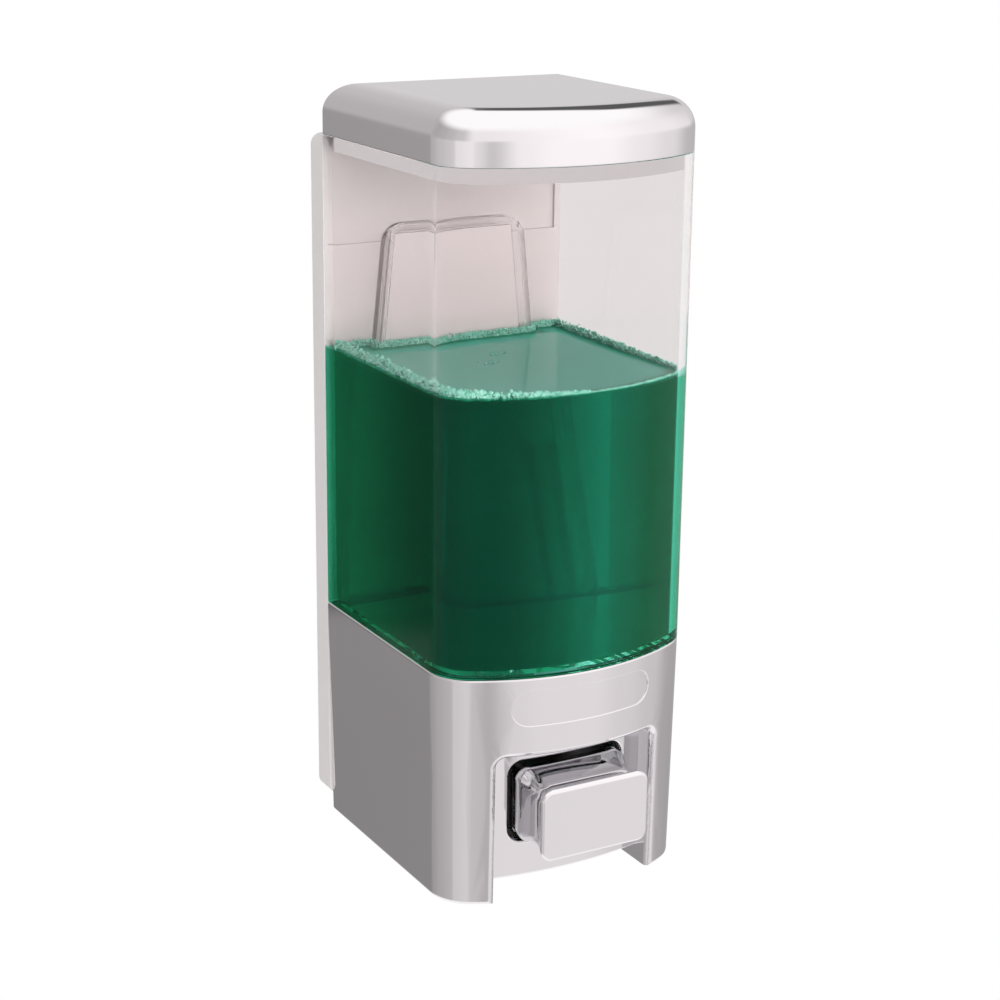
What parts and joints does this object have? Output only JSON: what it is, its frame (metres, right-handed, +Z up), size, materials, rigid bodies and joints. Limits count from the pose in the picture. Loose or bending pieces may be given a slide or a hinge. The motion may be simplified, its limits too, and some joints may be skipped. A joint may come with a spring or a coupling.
{
  "type": "wall mounted soap dispenser",
  "caption": "Wall mounted liquid soap dispenser: clear tank on a bright plated housing with a push button pump, plated lid and a screw-on plate that it hangs on.",
  "frame": {"origin": "on the wall plane, at the centre of the four wall screw holes", "axes": "+X right for a user who faces the dispenser, +Y into the wall, +Z up"},
  "size_m": [0.0754, 0.0942, 0.2115],
  "materials": {
    "white_plastic": "satin",
    "clear_plastic": "polished",
    "soap": "gloss",
    "plated_plastic": "polished",
    "black_plastic": "matte",
    "pump_plastic": "satin",
    "seal_rubber": "matte",
    "screw_steel": "satin",
    "spring_steel": "satin"
  },
  "bodies": {
    "wall_plate": {"wall_plate": "white_plastic", "hanger": "white_plastic"},
    "dispenser": {"tank": "clear_plastic", "soap": "soap", "housing": "plated_plastic", "guide_frame": "black_plastic", "guide_screws": "screw_steel", "housing_screws": "screw_steel", "pump_body": "pump_plastic", "pump_cap": "pump_plastic", "pump_screws": "screw_steel", "inlet_gasket": "seal_rubber", "inlet_seat": "pump_plastic", "inlet_valve": "seal_rubber", "return_spring": "spring_steel", "outlet_spring": "spring_steel", "nozzle_seal": "seal_rubber", "nozzle": "pump_plastic"},
    "lid": {"lid": "plated_plastic"},
    "button": {"button": "plated_plastic", "plunger": "pump_plastic", "piston_seal": "seal_rubber"},
    "outlet_ball": {"outlet_ball": "spring_steel"}
  },
  "joints": [
    {"name": "lift_off", "type": "slide", "parent": "wall_plate", "child": "dispenser", "axis": [0, 0, 1], "range_m": [0, 0.027]},
    {"name": "lid_lift", "type": "slide", "parent": "dispenser", "child": "lid", "axis": [0, 0, 1], "range_m": [0, 0.05]},
    {"name": "button_press", "type": "slide", "parent": "dispenser", "child": "button", "axis": [0, 1, 0], "range_m": [0, 0.01], "stiffness_N_per_m": 400, "springref_m": -0.01, "deforming": ["return_spring"]},
    {"name": "outlet_open", "type": "slide", "parent": "dispenser", "child": "outlet_ball", "axis": [0, 0, -1], "range_m": [0, 0.0012], "deforming": ["outlet_spring"]}
  ],
  "couplings": [
    {"joint": "outlet_open", "follows": "button_press", "ratio": 0.12}
  ]
}
